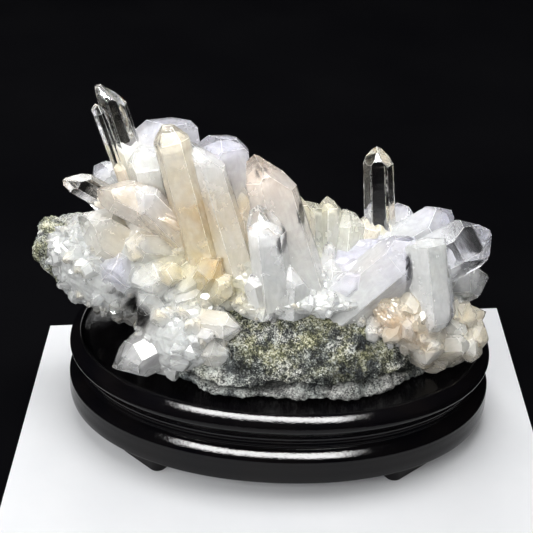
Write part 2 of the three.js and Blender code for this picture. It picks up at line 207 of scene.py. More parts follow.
CRYSTALS = {
    # Left
    "left spire": crystal((-86, 8, 134), (-102, 12, 189), 12.5, "white", chisel=0.85, blunt=3,
        milk=0.45, beside=0),
    "left spire twin": crystal((-90, 6, 143), (-102, 8, 179), 9, "white", 20, chisel=0.3, tint="pink",
        milk=0.1, beside=0),
    "far left point": crystal((-94, 0, 122), (-119, -4, 140), 12, "cream", 10, chisel=0.5, tint="pink",
        milk=0.35, beside=0),
    "grey slab": crystal((-92, 20, 119), (-107, 28, 137), 20, "lilac", 30, blunt=4, milk=0.8, beside=1),
    "cream prism": crystal((-64, -16, 123), (-104, -13, 142), 19, "cream", 12, chisel=0.3, tint="pink"),
    "pale prism": crystal((-56, -20, 118), (-82, -18, 146), 16, "white", blunt=3, tint="pink"),
    "left block": crystal((-88, -16, 110), (-114, -16, 127), 25, "milk", blunt=5, tint="cream",
        milk=0.8, beside=1),
    "left under block": crystal((-90, -12, 98), (-112, -26, 106), 22, "milk", 30, blunt=4, milk=0.85,
        beside=1),
    "facing point": crystal((-82, -12, 92), (-90, -42, 105), 22, "lilac", blunt=2, milk=0.85, beside=1),
    "striated log": crystal((-50, -18, 108), (-86, -31, 117), 15, "grey", 30, blunt=2, milk=0.85),
    "lower log": crystal((-48, -22, 98), (-84, -42, 98), 19, "milk", blunt=3, tint="white"),
    "cavity lip": crystal((-60, -20, 88), (-76, -48, 84), 18, "milk", 10, blunt=3, tint="grey"),
    # Tall ones left of the middle
    "milky slab": crystal((-66, 2, 113), (-76, 6, 164), 25, "milk", 30, blunt=7, tint="cream",
        beside=0),
    "flat-topped slab": crystal((-62, 10, 113), (-73, 22, 174), 26, "lilac", 4, wide=1.6, blunt=9,
        beside=0),
    "cream tall": crystal((-45, -24, 112), (-64, -8, 179), 16.5, "cream", -30, chisel=0.1, blunt=3,
        tint="beige", beside=0),
    "cream twin": crystal((-33, -24, 115), (-52, -6, 170), 15, "white", -10, chisel=0.7, tint="cream",
        beside=1),
    "milky dome": crystal((-31, -8, 103), (-40, 10, 171), 27, "lilac", 4, wide=1.2, blunt=8,
        tint="cream", beside=1),
    "beige shoulder": crystal((-20, -20, 100), (-26, -4, 143), 19, "cream", chisel=0.3, tint="beige",
        beside=2),
    "amber wedge": crystal((-46, -30, 92), (-34, -36, 118), 17, "amber", chisel=0.2, tint="green"),
    "small facet": crystal((-36, -34, 90), (-26, -46, 107), 12, "cream", 20, tint="green"),
    "small upright": crystal((-58, -30, 96), (-60, -44, 112), 12, "cream", blunt=1),
    # Middle
    "centre main": crystal((4, -32, 89), (-20, -10, 165), 21, "pink", -12, chisel=0.55, taper=0.05,
        buried=6, milk=0.9, beside=2),
    "centre front": crystal((-8, -42, 94), (-16, -34, 147), 17, "white", -20, chisel=0.5, buried=3,
        milk=0.8, beside=2),
    "centre wedge": crystal((2, -44, 88), (2, -40, 118), 16, "white", 10, chisel=0.4, buried=1,
        beside=2),
    "fan first": crystal((8, -22, 84), (4, 4, 137), 14, "cream", chisel=0.5, beside=6),
    "fan second": crystal((14, -20, 82), (12, 10, 130), 19, "green", 15, blunt=5, beside=6),
    "fan third": crystal((24, -20, 82), (22, 5, 132), 12, "green", 40, chisel=0.5, beside=6),
    "fan fourth": crystal((32, -16, 82), (34, 10, 127), 20, "green", 10, blunt=6, beside=6),
    "fan fifth": crystal((38, -12, 82), (47, 8, 123), 14, "cream", 25, chisel=0.4, beside=6),
    "fan low": crystal((22, -30, 84), (24, -14, 113), 17, "white", chisel=0.4, buried=8, beside=6),
    # Right
    "right spire": crystal((52, 6, 110), (47, 14, 158), 14, "gold", -30, chisel=0.1, milk=0.12,
        beside=0),
    "round one behind": crystal((64, 12, 96), (66, 24, 121), 18, "lilac", blunt=3),
    "small point behind": crystal((77, 16, 93), (81, 24, 115), 11, "pink"),
    "right back": crystal((58, 0, 100), (94, 8, 124), 20, "lilac", 30, blunt=3),
    "right tip": crystal((63, -16, 93), (113, -8, 122), 25, "lilac", 10, blunt=3, milk=0.62, beside=1),
    "long prism": crystal((31, -32, 86), (70, -24, 124), 29, "lilac", chisel=0.3, buried=6, beside=2),
    "pillar": crystal((72, -30, 122), (80, -46, 74), 20, "white", chisel=0.3, buried=2, beside=0),
    "pillar prong": crystal((80, -30, 108), (86, -44, 80), 14, "lilac", buried=2, milk=0.8, beside=0),
    "right grey": crystal((87, -8, 86), (116, -4, 86), 24, "milk", blunt=3, tint="grey", milk=0.75),
    "right low": crystal((84, -14, 76), (109, -20, 66), 24, "milk", blunt=2, tint="grey", milk=0.85),
    "lying cream": crystal((78, -42, 68), (104, -38, 67), 14, "milk", blunt=1, buried=4, tint="cream",
        beside=0),
    "low cream": crystal((80, -30, 60), (92, -48, 57), 25, "cream", wide=1.2, blunt=4, tint="beige",
        beside=0),
    "right cream": crystal((86, -22, 74), (103, -38, 72), 25, "milk", 20, blunt=4, tint="cream",
        beside=1),
    "rusty block": crystal((52, -32, 82), (70, -46, 85), 19, "cream", blunt=3, buried=8, tint="beige",
        beside=2),
    # Low in front
    "front left point": crystal((-59, -40, 63), (-90, -62, 57), 20, "grey", chisel=0.2, tint="grey",
        milk=0.75, beside=0),
    "second low point": crystal((-50, -42, 60), (-64, -58, 58), 18, "lilac", 20, blunt=2),
    "front block": crystal((-50, -32, 85), (-62, -56, 78), 28, "white", blunt=4, milk=0.75),
    "front log": crystal((-46, -46, 80), (-19, -56, 84), 14, "white", blunt=2, tint="cream"),
    "front low log": crystal((-46, -46, 66), (-24, -60, 70), 16, "milk", 15, blunt=2, tint="cream"),
    # Back
    "back far left": crystal((-92, 18, 104), (-114, 38, 114), 15, "milk", chisel=0.2, tint="grey",
        milk=CLEAR_TIP),
    "back left": crystal((-80, 20, 108), (-95, 42, 130), 18, "white", 10, chisel=0.3),
    "back left tall": crystal((-62, 22, 108), (-70, 46, 149), 22, "white", chisel=0.1, milk=CLEAR_TIP),
    "back left thin": crystal((-52, 24, 104), (-56, 52, 128), 12, "milk", chisel=0.2, tint="cream"),
    "back middle tall": crystal((-42, 20, 106), (-42, 44, 143), 24, "pink", 20, chisel=0.4),
    "back middle": crystal((-24, 24, 100), (-20, 54, 122), 17, "white"),
    "back centre": crystal((-10, 20, 96), (-4, 42, 128), 20, "cream", 15, blunt=2),
    "valley left": crystal((-6, 4, 96), (-8, 18, 124), 14, "green", chisel=0.2),
    "valley right": crystal((24, 8, 90), (28, 24, 110), 15, "cream", 10, chisel=0.3),
    "back fan left": crystal((8, 24, 88), (12, 52, 100), 22, "white", chisel=0.2, milk=CLEAR_TIP),
    "back fan right": crystal((28, 20, 84), (37, 44, 104), 16, "pink", 10),
    "back right": crystal((42, 20, 82), (50, 49, 92), 20, "lilac", chisel=0.3),
    "back far right": crystal((62, 14, 84), (80, 34, 97), 17, "milk", 20, blunt=2, tint="grey"),
    "low back left": crystal((-72, 24, 90), (-89, 50, 95), 16, "cream"),
    "low back middle": crystal((-44, 26, 86), (-52, 58, 92), 21, "white", 10, chisel=0.2),
    "low back small": crystal((-26, 28, 82), (-27, 56, 87), 12, "green", tint="cream"),
    "low back centre": crystal((-6, 26, 78), (2, 57, 82), 19, "lilac", blunt=3),
    "low back right": crystal((28, 24, 74), (40, 53, 78), 15, "white", chisel=0.2, milk=CLEAR_TIP),
    "low far right": crystal((60, 16, 74), (84, 37, 78), 18, "milk", 10, tint="grey"),
}

# The milky masses that the crystals grow out of: middle, half sizes and tilt, and the number,
# widths, level and upper colours of the small crystals on them
MASSES = [
    dict(centre=(-66, -2, 96), size=(44, 34, 32), tilt=14, tint="milk"),
    dict(centre=(-14, -4, 88), size=(46, 40, 34), tint="green"),
    dict(centre=(48, -4, 78), size=(50, 36, 34), tint="lilac", tops=("milk", "lilac", "cream")),
    dict(centre=(-50, -36, 68), size=(27, 25, 24), tint="milk", points=130, grain=(4, 13), level=0.95),
    dict(centre=(-92, -4, 86), size=(38, 28, 25), tilt=27, tint="milk", points=330, grain=(3, 9),
         level=0.98, tops=("grey", "cream", "milk")),
    dict(centre=(84, -22, 63), size=(27, 22, 19), tint="cream", points=34, grain=(9, 17),
         tops=("cream", "beige", "milk")),
    dict(centre=(-12, 20, 86), size=(84, 27, 24), tilt=8, tint="milk", points=150, grain=(5, 14),
         level=0.94),
    dict(centre=(10, -36, 94), size=(38, 16, 7), tint="milk", points=70, grain=(4, 8), level=0.95),
    dict(centre=(-12, -43, 91), size=(13, 9, 8), tint="milk", points=40, grain=(4, 8), level=0.95),
    dict(centre=(68, -38, 80), size=(26, 16, 12), tilt=35, tint="cream", points=40, grain=(8, 16),
         tops=("cream", "white", "milk")),
]

# Relief of the masses: fineness, height, and how it moves from mass to mass
MASS_FINENESS = 3
MASS_SHRINK = 0.98
MASS_SWELLS = [(1, 0.05, (1, 0, 0)), (3, 0.04, (0, 1, 0)), (8, 0.018, (0, 1, 0))]

# Small crystals on the masses
USUAL_LEVEL = 0.9
USUAL_POINTS = 70
USUAL_GRAIN = (6, 15)
USUAL_TOPS = ("milk", "white", "cream")
DRUSE_LEAN = 0.45
DRUSE_HEIGHTS = (0.4, 0.72)
DRUSE_BURIAL = 4
TIP_CLEARANCE = 3
MOST_TURN = 60
MOST_CHISEL = 0.8

# Crystals beside the main ones, by the size of these
BESIDE_WIDTHS = (0.35, 0.62)
BESIDE_PLACES = (0.36, 0.52)
BESIDE_LENGTHS = (0.15, 0.6)
BESIDE_LEAN = (-0.02, 0.16)
BESIDE_SCATTER = 0.03
BESIDE_BURIAL = 8

# The line on the front, as (x, z), where the quartz meets the rock under a crust of small crystals
BORDER = [(-40, 99), (-18, 92), (9, 91), (32, 92), (46, 83), (60, 73), (78, 61)]
CRUST_PER_SPAN = 16
CRUST_ABOVE_LINE = (-1, 6)
CRUST_WIDTHS = (4, 9)
CRUST_HEIGHTS = (0.3, 0.6)
CRUST_BURIAL = 5
CRUST_BLUNT = 0.1
FRONT_Y = -200

# Floor, camera and lights
FLOOR_CORNERS = [(-136, -420), (155, -420), (146, 100), (-146, 59)]
FLOOR_THICKNESS = 0.3
GROUND_REACH = 2500
GROUND_DROP = 4
CAMERA_PLACE = (-9.3, -546.4, 429.5)
CAMERA_PITCH = math.radians(32)
CAMERA_ROLL = math.radians(-2.3)
FRAME_PIXELS = 533
FOCAL_PIXELS = 1157
SENSOR_WIDTH = 36
ROOM_COLOUR = (0.004, 0.004, 0.0045, 1)

# Area lights: place, the point they face, size, watts, and if mirrors and dull faces see them
LIGHTS = [
    ("overhead softbox", (0, 120, 1000), (0, -20, 60), (560, 340), 6.2, False, True),
    ("front fill", (-450, -900, 650), (0, 0, 90), (900, 700), 9.8, False, True),
    ("left panel", (-900, -100, 450), (-40, 0, 110), (500, 700), 3.4, False, True),
    ("right panel", (900, 100, 500), (40, 0, 110), (500, 700), 2.3, False, True),
    ("streak strip", (-40, -290, 1000), (0, -20, 40), (760, 230), 32, True, False),
    ("back panel", (-100, 900, 700), (0, 0, 110), (900, 400), 5, True, True),
]


def placed(x, y, z):
    """A point of the drawing, in metres in the object's frame."""
    return Vector((x, y, z)) * MM + SHIFT


def link(obj):
    bpy.context.scene.collection.objects.link(obj)
    return obj


def mesh_object(name, bm, smooth=False):
    """A linked object from a bmesh that is drawn in millimetres."""
    bmesh.ops.transform(bm, matrix=Matrix.Scale(MM, 4), verts=bm.verts)
    bmesh.ops.translate(bm, vec=SHIFT, verts=bm.verts)
    mesh = bpy.data.meshes.new(name)
    bm.to_mesh(mesh)
    bm.free()
    mesh.shade_smooth() if smooth else mesh.shade_flat()
    return link(bpy.data.objects.new(name, mesh))


def freeze(obj):
    """Puts what the modifiers make into the object's own mesh."""
    graph = bpy.context.evaluated_depsgraph_get()
    mesh = bpy.data.meshes.new_from_object(obj.evaluated_get(graph))
    obj.modifiers.clear()
    old = obj.data
    obj.data = mesh
    bpy.data.meshes.remove(old)
    return obj


# Quartz crystals

def crystal_planes(row):
    """The faces of a crystal as (normal, reach, kind), its axis, lowest point, length and burial."""
    foot, tip = Vector(row["foot"]), Vector(row["tip"])
    axis = (tip - foot).normalized()
    buried = row.get("buried", USUAL_BURIAL)
    length = (tip - foot).length + buried
    radius = row["across"] / 2
    taper = row.get("taper", USUAL_TAPER)
    peak = Vector((-row.get("chisel", 0) * radius, 0, length))
    local = [(Vector((0, 0, -1)), 0, "base")]
    for side in range(6):
        angle = side * math.pi / 3
        outward = Vector((math.cos(angle), math.sin(angle), 0))
        wall = Vector((outward.x, outward.y, taper)).normalized()
        spread = radius * (row.get("wide", 1) - 1) if side in (0, 3) else 0
        top = outward * (radius * SIDE_SHARES[side] + spread)
        top.z = length
        local.append((wall, wall.dot(top), "wall"))
        slope = outward * math.sin(RHOMB_FACE_ANGLE)
        slope.z = math.cos(RHOMB_FACE_ANGLE)
        narrow = NARROW_FACE_SHARE * radius if side % 2 else 0
        cut_back = row.get("uneven", (0,) * 6)[side] * radius
        local.append((slope, slope.dot(peak) + narrow + spread * slope.xy.length - cut_back, "end"))
    if row.get("blunt", 0) > 0:
        worn = Vector((BLUNT_TILT, 0, 1)).normalized()
        local.append((worn, (length - row["blunt"]) * worn.z, "end"))
    turned = Vector((0, 0, 1)).rotation_difference(axis).to_matrix()
    turned = turned @ Matrix.Rotation(math.radians(row["turn"]), 3, "Z")
    start = foot - axis * buried
    planes = []
    for normal, reach, kind in local:
        world = turned @ normal
        planes.append((world, reach - normal.x * peak.x + world.dot(start), kind))
    return planes, axis, start, length, buried


def convex_faces(planes):
    """The corners of a convex body, and for each plane its corners in order round it."""
    normals = np.array([tuple(p[0]) for p in planes])
    reaches = np.array([p[1] for p in planes])
    count = len(planes)
    i, j, k = np.array([(a, b, c) for a in range(count) for b in range(a + 1, count)
                        for c in range(b + 1, count)]).T
    systems = np.stack([normals[i], normals[j], normals[k]], axis=1)
    solvable = np.abs(np.linalg.det(systems)) > NEARLY_ZERO
    sides = np.stack([reaches[i], reaches[j], reaches[k]], axis=1)[solvable]
    points = np.linalg.solve(systems[solvable], sides[..., None])[..., 0]
    points = points[(points @ normals.T < reaches + NEARLY_ZERO).all(axis=1)]
    corners = []
    for point in points:
        if all(np.linalg.norm(point - other) > SAME_POINT for other in corners):
            corners.append(point)
    corners = np.array(corners)
    faces = []
    for normal, reach in zip(normals, reaches):
        on = np.nonzero(np.abs(corners @ normal - reach) < 2 * SAME_POINT)[0]
        if len(on) < 3:
            faces.append([])
            continue
        middle = corners[on].mean(axis=0)
        across = corners[on[0]] - middle
        across /= np.linalg.norm(across)
        up = np.cross(normal, across)
        offset = corners[on] - middle
        order = np.argsort(np.arctan2(offset @ up, offset @ across))
        faces.append([int(v) for v in on[order]])
    return corners, faces


def worn_planes(planes, rng):
    """The planes, with a narrow one laid along every edge where two faces meet."""
    corners, faces = convex_faces(planes)
    worn = list(planes)
    for a in range(len(planes)):
        for b in range(a + 1, len(planes)):
            shared = set(faces[a]) & set(faces[b])
            if len(shared) < 2 or "base" in (planes[a][2], planes[b][2]):
                continue
            normal = (planes[a][0] + planes[b][0]).normalized()
            at = Vector(corners[shared.pop()])
            slope = planes[a][0].dot(planes[b][0])
            depth = EDGE_WEAR * rng.uniform(LEAST_WEAR, 1) * math.sqrt(max(0, (1 - slope) / 2))
            worn.append((normal, normal.dot(at) - depth, "edge"))
    return worn


def quartz_layers(bm):
    """What is stored on the faces, and on their corners."""
    faces, corners = bm.faces.layers.float, bm.loops.layers
    on_faces = [faces.new(name) for name in ("facet", "edge", "clear")]
    tint = corners.float_color.new("tint")
    return on_faces, [tint, corners.float.new("clarity"), corners.float_vector.new("place")]


def crystal_bmesh(row, tag, wear=True):
    """One crystal as a closed body, with its colour, facet and place stored on its faces."""
    rng = random.Random(tag)
    planes, *shape = crystal_planes(row)
    if wear:
        planes = worn_planes(planes, rng)
    corners, faces = convex_faces(planes)
    bm = bmesh.new()
    (facet_layer, edge_layer, clear_layer), corner_layers = quartz_layers(bm)
    for corner in corners:
        bm.verts.new(corner)
    hull = bmesh.ops.convex_hull(bm, input=bm.verts)
    spare = {g for g in hull["geom_interior"] + hull["geom_unused"] if isinstance(g, bmesh.types.BMVert)}
    bmesh.ops.delete(bm, geom=list(spare), context="VERTS")
    normals = np.array([tuple(plane[0]) for plane in planes])
    lustre = [rng.random() for plane in planes]
    bm.normal_update()
    for face in bm.faces:
        nearest = int(np.argmax(normals @ np.array(face.normal)))
        face[facet_layer] = lustre[nearest]
        face[edge_layer] = 1.0 if planes[nearest][2] == "edge" else 0.0
        face[clear_layer] = 1.0 if row.get("milk", 1) < CLEAR_BELOW else 0.0
    if wear:
        growth_lines(bm, row, rng, *shape)
    paint(bm, corner_layers, row, tag, *shape)
    return bm


def growth_lines(bm, row, rng, axis, start, length, buried):
    """Cuts the sides into bands and moves these in and out, as ladder-like growth lines do."""
    across = row["across"]
    cuts = []
    step = buried + rng.uniform(1, 3)
    while step < length - across * PLAIN_TIP_SHARE:
        cuts += [step, step + LINE_WIDTH]
        step += rng.choice(LINE_STEPS) * rng.uniform(0.8, 1.2)
    for cut in cuts:
        bmesh.ops.bisect_plane(
            bm, geom=bm.verts[:] + bm.edges[:] + bm.faces[:], dist=1e-4,
            plane_co=start + axis * cut, plane_no=axis)
    depth = min(MOST_LINE_DEPTH, across * LINE_DEPTH)
    seed = rng.uniform(0, 100)
    aside = axis.orthogonal()
    for vert in bm.verts:
        along = (vert.co - start).dot(axis)
        out = vert.co - start - axis * along
        if along < buried * 0.5 or out.length < 1e-6:
            continue
        side = round(math.atan2(out.dot(axis.cross(aside)), out.dot(aside)), 1)
        level = noise.noise(Vector((along * 0.45, side * 3, seed)))
        vert.co += out.normalized() * depth * level


def mixed(a, b, share):
    return tuple(x + (y - x) * share for x, y in zip(a, b))


def smooth_step(low, high, value):
    t = min(1, max(0, (value - low) / (high - low)))
    return t * t * (3 - 2 * t)


def stained_and_shaded(colour, point):
    """The colour of the quartz at a point, with the stains and the painted shade that reach it."""
    for middle, reach, name, strength in STAINS_AND_SHADE:
        far = sum(((p - m) / r) ** 2 for p, m, r in zip(point, middle, reach))
        if far < PATCH_END:
            ragged = 1 + PATCH_RAGGEDNESS * noise.noise(Vector(point) * PATCH_FINENESS)
            share = strength * math.exp(-far * PATCH_FADING * ragged)
            colour = mixed(colour, TINTS[name], share)
    return colour


def paint(bm, layers, row, tag, axis, start, length, buried):
    """Stores the colour and the place inside the crystal on each face corner."""
    tint_layer, clarity_layer, place_layer = layers
    milk = row.get("milk", USUAL_MILK)
    clearing = [milk + step for step in CLEARING_SPAN]
    base = TINTS[row.get("tint", "milk")]
    top = TINTS[row["top"]]
    aside = axis.orthogonal().normalized()
    other = axis.cross(aside)
    for face in bm.faces:
        for loop in face.loops:
            offset = loop.vert.co - start
            along = offset.dot(axis)
            share = (along - buried) / (length - buried)
            colour = mixed(base, top, smooth_step(*TINT_SPAN, share))
            loop[tint_layer] = (*stained_and_shaded(colour, loop.vert.co), 1)
            loop[clarity_layer] = smooth_step(*clearing, share)
            loop[place_layer] = (offset.dot(aside) + PLACE_STEP * tag, offset.dot(other), along)


def tilted(mass):
    return Matrix.Rotation(math.radians(mass.get("tilt", 0)), 3, "Y")


def mass_bmesh(row, tag, shrink=0.0):
    """A rough milky mass between the crystals."""
    bm = bmesh.new()
    bmesh.ops.create_icosphere(bm, subdivisions=5, radius=1)
    for vert in bm.verts:
        point = vert.co * MASS_FINENESS
        swell = MASS_SHRINK
        for fineness, height, aside in MASS_SWELLS:
            swell += height * noise.noise(point * fineness + Vector(aside) * tag)
        vert.co = Vector((v * (s - shrink) for v, s in zip(vert.co, row["size"]))) * swell
    bmesh.ops.rotate(bm, verts=bm.verts, cent=(0, 0, 0), matrix=tilted(row))
    bmesh.ops.translate(bm, verts=bm.verts, vec=Vector(row["centre"]))
    (facet, _, _), (tint, _, place) = quartz_layers(bm)
    for face in bm.faces:
        face[facet] = 0.5
        for loop in face.loops:
            loop[tint] = (*stained_and_shaded(TINTS[row["tint"]], loop.vert.co), 1)
            loop[place] = loop.vert.co
    return bm


def scattered(rng, spread=1.0):
    return Vector(rng.gauss(0, spread) for _ in range(3))


def druse(rng):
    """Short stout crystals that cover the masses between the larger ones."""
    rows = []
    for mass in MASSES:
        size = Vector(mass["size"])
        turned = tilted(mass)
        tops = mass.get("tops", USUAL_TOPS)
        for _ in range(mass.get("points", USUAL_POINTS)):
            direction = scattered(rng).normalized()
            skin = Vector(d * s for d, s in zip(direction, size))
            out = Vector(d / s for d, s in zip(direction, size)).normalized()
            out = (out + scattered(rng, DRUSE_LEAN)).normalized()
            across = rng.uniform(*mass.get("grain", USUAL_GRAIN))
            foot = Vector(mass["centre"]) + turned @ (skin * mass.get("level", USUAL_LEVEL))
            tip = foot + (turned @ out) * across * rng.uniform(*DRUSE_HEIGHTS)
            if tip.z < ROCK_BOTTOM + TIP_CLEARANCE:
                continue
            rows.append(dict(
                foot=tuple(foot), tip=tuple(tip), across=across, buried=DRUSE_BURIAL,
                turn=rng.uniform(0, MOST_TURN), chisel=rng.uniform(0, MOST_CHISEL),
                blunt=rng.choice((0, 0.1, 0.2)) * across, tint=mass["tint"], top=rng.choice(tops)))
    return rows


def side_growths(rng):
    """Smaller crystals that grew beside the main ones, nearly along them."""
    rows = []
    for row in CRYSTALS.values():
        foot, tip = Vector(row["foot"]), Vector(row["tip"])
        axis = (tip - foot).normalized()
        length = (tip - foot).length
        aside = axis.orthogonal().normalized()
        for _ in range(row.get("beside", 3)):
            across = row["across"] * rng.uniform(*BESIDE_WIDTHS)
            angle = rng.uniform(0, 2 * math.pi)
            out = aside * math.cos(angle) + axis.cross(aside) * math.sin(angle)
            base = foot + out * (row["across"] * rng.uniform(*BESIDE_PLACES))
            reach = length * rng.uniform(*BESIDE_LENGTHS)
            lean = axis + out * rng.uniform(*BESIDE_LEAN) + scattered(rng, BESIDE_SCATTER)
            rows.append(dict(
                foot=tuple(base), tip=tuple(base + lean.normalized() * reach), across=across,
                buried=BESIDE_BURIAL, turn=rng.uniform(0, MOST_TURN),
                chisel=rng.uniform(0, MOST_CHISEL), blunt=rng.choice((0, 0, 0.12)) * across,
                tint=row.get("tint", "milk"), top=rng.choice((row["top"], "milk", "white"))))
    return rows


def border_crust(rng):
    """Small blunt crystals along the front line where the quartz meets the rock."""
    bm = bmesh.new()
    bm.from_mesh(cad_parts["matrix_rock"].data)
    rock = BVHTree.FromBMesh(bm)
    bm.free()
    rows = []
    for (x_from, z_from), (x_to, z_to) in zip(BORDER, BORDER[1:]):
        for _ in range(CRUST_PER_SPAN):
            share = rng.random()
            x = x_from + (x_to - x_from) * share
            z = z_from + (z_to - z_from) * share + rng.uniform(*CRUST_ABOVE_LINE)
            across = rng.uniform(*CRUST_WIDTHS)
            out = Vector((rng.uniform(-0.6, 0.6), -1, rng.uniform(0.1, 1.2))).normalized()
            height = across * rng.uniform(*CRUST_HEIGHTS)
            look = dict(turn=rng.uniform(0, MOST_TURN), chisel=rng.uniform(0, MOST_CHISEL),
                        top=rng.choice(USUAL_TOPS))
            hit = rock.ray_cast(placed(x, FRONT_Y, z), Vector((0, 1, 0)))[0]
            if hit is None:
                continue
            foot = (hit - SHIFT) / MM
            rows.append(dict(look, foot=tuple(foot), tip=tuple(foot + out * height), across=across,
                             buried=CRUST_BURIAL, blunt=CRUST_BLUNT * across))
    return rows


def ground_cutter():
    """A block whose underside is the level that the quartz may not go below."""
    reach = 300
    bm = bmesh.new()
    bmesh.ops.create_cube(bm, size=2 * reach)
    bmesh.ops.translate(bm, verts=bm.verts, vec=(0, 0, reach + ROCK_BOTTOM))
    return mesh_object("ground cutter", bm)


def boolean(obj, operation, other=None, collection=None):
    step = obj.modifiers.new(operation, "BOOLEAN")
    step.solver = "MANIFOLD"
    step.operation = operation
    if collection:
        step.operand_type = "COLLECTION"
        step.collection = collection
    else:
        step.object = other
    return freeze(obj)


def grown_together(name, bodies):
    """One closed body from several closed ones, cut off level at the bottom."""
    parts = bpy.data.collections.new("growing")
    bpy.context.scene.collection.children.link(parts)
    objects = [mesh_object(name, bm) for bm in bodies]
    first = objects[0]
    for obj in objects[1:]:
        bpy.context.scene.collection.objects.unlink(obj)
        parts.objects.link(obj)
    boolean(first, "UNION", collection=parts)
    cutter = ground_cutter()
    boolean(first, "INTERSECT", other=cutter)
    for obj in [cutter, *objects[1:]]:
        old = obj.data
        bpy.data.objects.remove(obj)
        bpy.data.meshes.remove(old)
    bpy.data.collections.remove(parts)
    first.name = name
    first.data.name = name
    return first


def main_rows():
    """The named crystals, with end faces that grew to uneven sizes."""
    rng = random.Random(UNEVEN_SEED)
    rows = []
    for row in CRYSTALS.values():
        uneven = [rng.choice((0, 0, 0.12, 0.3)) for _ in range(6)]
        rows.append(row if row.get("milk", 1) < CLEAR_BELOW else dict(row, uneven=uneven))
    return rows


def small_rows():
    rng = random.Random(SMALL_SEED)
    return side_growths(rng) + druse(rng) + border_crust(rng)


def quartz():
    """All the crystals and masses, grown together into one clear body."""
    bodies = [mass_bmesh(row, tag) for tag, row in enumerate(MASSES)]
    bodies += [crystal_bmesh(row, tag) for tag, row in enumerate(main_rows())]
    bodies += [crystal_bmesh(row, tag + SMALL_TAG, wear=False) for tag, row in enumerate(small_rows())]
    return grown_together("quartz", bodies)


def milky_cores():
    """The milky insides of the crystals, which show through their clear skin."""
    bodies = [mass_bmesh(row, tag, MILK_DEPTH) for tag, row in enumerate(MASSES)]
    for tag, row in enumerate(main_rows() + small_rows()):
        milk = row.get("milk", USUAL_MILK)
        foot, tip = Vector(row["foot"]), Vector(row["tip"])
        inner = dict(row, tip=tuple(foot + (tip - foot) * milk),
                     across=row["across"] - 2 * MILK_DEPTH,
                     blunt=row.get("blunt", 0) + MILK_DEPTH)
        bodies.append(crystal_bmesh(inner, tag, wear=False))
    obj = grown_together("milky_cores", bodies)
    bm = bmesh.new()
    bm.from_mesh(obj.data)
    for _ in range(MILK_EDGE_ROUNDS):
        long_edges = [edge for edge in bm.edges if edge.calc_length() > LONGEST_MILK_EDGE * MM]
        bmesh.ops.subdivide_edges(bm, edges=long_edges, cuts=1)
        bmesh.ops.triangulate(bm, faces=[face for face in bm.faces if len(face.verts) > 3])
    bm.normal_update()
    moves = []
    for vert in bm.verts:
        point = vert.co / MM
        depth = max(0, noise.noise(point * 0.16) + 0.1) * 1.2
        depth += max(0, noise.noise(point * 0.5)) * 0.5
        moves.append(vert.co - vert.normal * depth * MM)
    for vert, place in zip(bm.verts, moves):
        vert.co = place
    bm.to_mesh(obj.data)
    bm.free()
    obj.data.shade_flat()
    return obj


# Materials

class Nodes:
    """A material's node tree, with short ways to add to it."""

    def __init__(self, name):
        self.material = bpy.data.materials.new(name)
        self.material.use_nodes = True
        self.tree = self.material.node_tree
        self.shader = self.tree.nodes["Principled BSDF"]
        self.where = self.tree.nodes.new("ShaderNodeTexCoord").outputs["Object"]

    def add(self, kind, settings=None, *values, **inputs):
        """A new node with its settings, and its inputs by place or by name."""
        node = self.tree.nodes.new("ShaderNode" + kind)
        for key, value in (settings or {}).items():
            setattr(node, key, value)
        for key, value in [*enumerate(values), *inputs.items()]:
            self.put(node, key, value)
        return node

    def put(self, node, key, value):
        socket = node.inputs[key.replace("_", " ") if isinstance(key, str) else key]
        if isinstance(value, bpy.types.NodeSocket):
            self.tree.links.new(value, socket)
        else:
            socket.default_value = value

    def noise(self, scale, detail=3, rough=0.55, distort=0.0, where=None, output="Fac"):
        node = self.add("TexNoise", Scale=scale, Detail=detail, Roughness=rough, Distortion=distort,
                        Vector=where or self.where)
        return node.outputs[output]

    def ramp(self, value, *stops):
        node = self.add("ValToRGB")
        ramp = node.color_ramp
        while len(ramp.elements) < len(stops):
            ramp.elements.new(0.5)
        for element, (place, colour) in zip(ramp.elements, stops):
            element.position = place
            element.color = (*colour, 1)
        self.put(node, "Fac", value)
        return node.outputs["Color"]

    def math(self, operation, a, b=0.0, clamp=False):
        return self.add("Math", {"operation": operation, "use_clamp": clamp}, a, b).outputs[0]

    def plus(self, a, b):
        return self.math("ADD", a, b)

    def times(self, a, b, clamp=False):
        return self.math("MULTIPLY", a, b, clamp)

    def vector(self, operation, a, b):
        return self.add("VectorMath", {"operation": operation}, a, b).outputs[0]

    def mix(self, share, a, b, blend="MIX"):
        node = self.add("Mix", {"data_type": "RGBA", "blend_type": blend}, share)
        self.put(node, 6, a)
        self.put(node, 7, b)
        return node.outputs[2]

    def span(self, value, low, high, to_low=0.0, to_high=1.0):
        return self.add("MapRange", None, value, low, high, to_low, to_high).outputs[0]

    def attribute(self, name, output="Fac"):
        return self.add("Attribute", {"attribute_name": name}).outputs[output]

    def bump(self, height, distance, strength=1.0, normal=None):
        node = self.add("Bump", Height=height, Distance=distance, Strength=strength)
        if normal:
            self.put(node, "Normal", normal)
        return node.outputs["Normal"]

    def finish(self, colour, rough, **inputs):
        for key, value in dict(Base_Color=colour, Roughness=rough, **inputs).items():
            self.put(self.shader, key, value)
        return self.material


